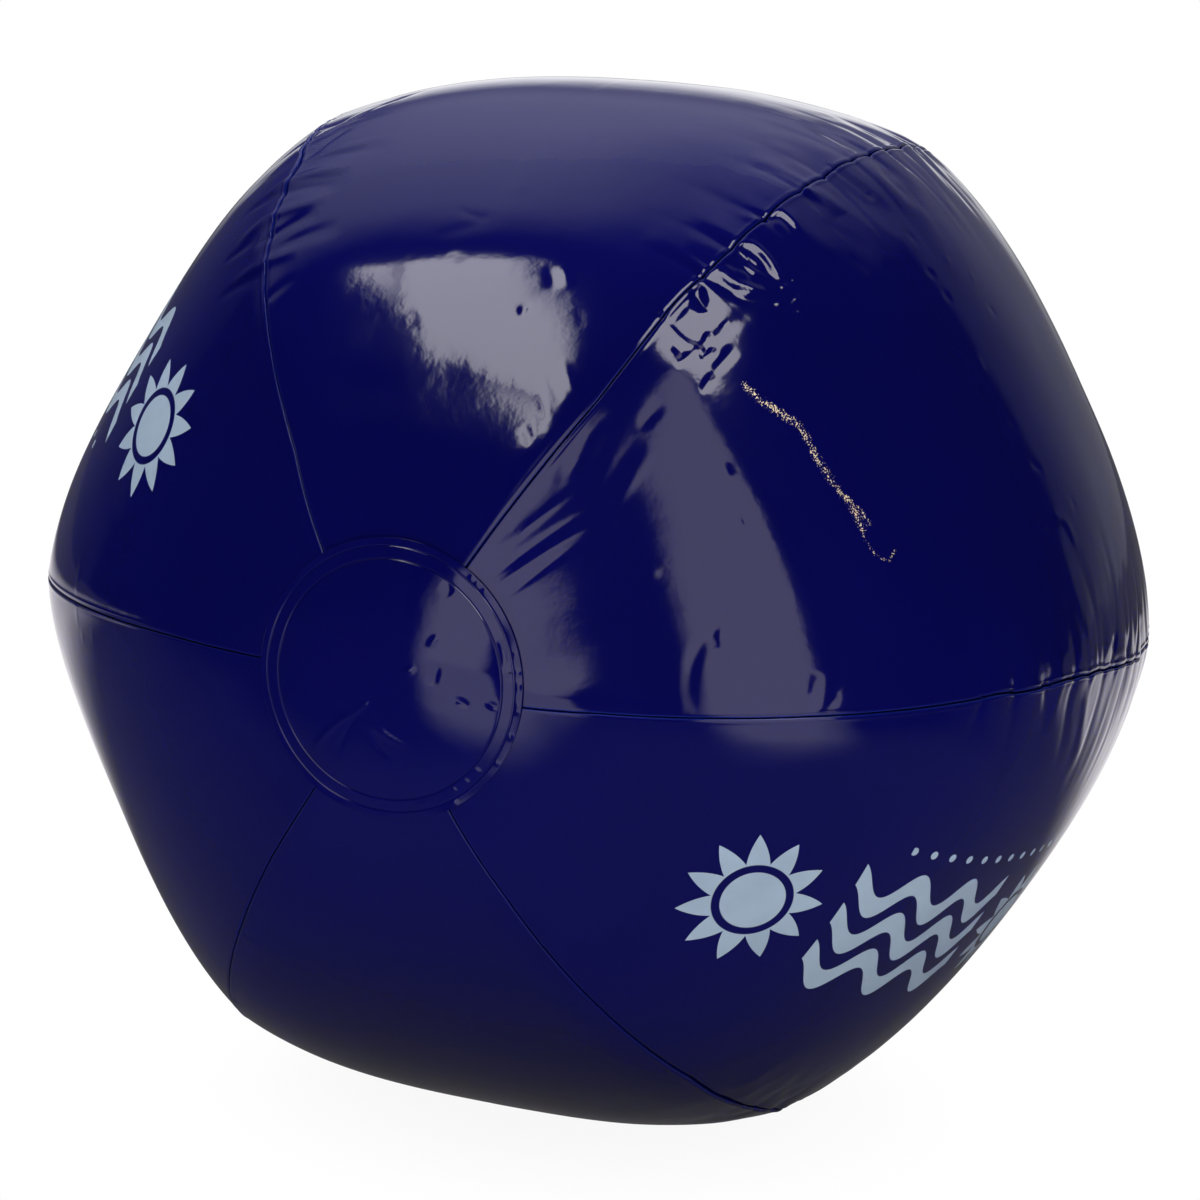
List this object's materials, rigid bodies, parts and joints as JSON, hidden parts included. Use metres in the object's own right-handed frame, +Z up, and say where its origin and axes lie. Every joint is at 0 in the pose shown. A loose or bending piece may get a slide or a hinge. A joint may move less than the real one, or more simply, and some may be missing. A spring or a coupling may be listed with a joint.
{
  "type": "beach ball",
  "caption": "Blown-up soft vinyl beach ball with welded gore panels, pole discs and a push-in air valve, lying on its side.",
  "frame": {"origin": "middle of the flat patch that the ball rests on, below the ball's centre", "axes": "+Z up; the polar axis is horizontal along Y, with the plain disc at -Y and the valve at +Y; +X to the right as seen facing the plain disc"},
  "size_m": [0.2864, 0.2899, 0.273],
  "materials": {
    "blue_film": "glossy soft vinyl film, navy blue",
    "printed_film": "glossy navy vinyl film with a pale blue-grey screen print",
    "clear_vinyl": "milky soft moulded vinyl"
  },
  "bodies": {
    "ball": {"panel_1": "blue_film", "panel_2": "blue_film", "panel_3": "printed_film", "panel_4": "blue_film", "panel_5": "blue_film", "panel_6": "printed_film", "front_disc": "blue_film", "valve_disc": "blue_film", "valve_flange": "clear_vinyl", "valve_skirt": "clear_vinyl"},
    "valve": {"valve_stem": "clear_vinyl"},
    "plug": {"valve_plug": "clear_vinyl"},
    "flap": {"check_flap": "clear_vinyl"}
  },
  "joints": [
    {"name": "valve_pull", "type": "slide", "parent": "ball", "child": "valve", "axis": [0, 1, 0], "range_m": [0, 0.014], "deforming": ["valve_skirt"]},
    {"name": "plug_swing", "type": "hinge", "parent": "valve", "child": "plug", "pos_m": [0, 0.14485, 0.145], "axis": [1, 0, 0], "range_deg": [0, 150]},
    {"name": "flap_swing", "type": "hinge", "parent": "valve", "child": "flap", "pos_m": [0, 0.12955, 0.1409], "axis": [-1, 0, 0], "range_deg": [0, 65], "stiffness_Nm_per_rad": 0.00002}
  ]
}
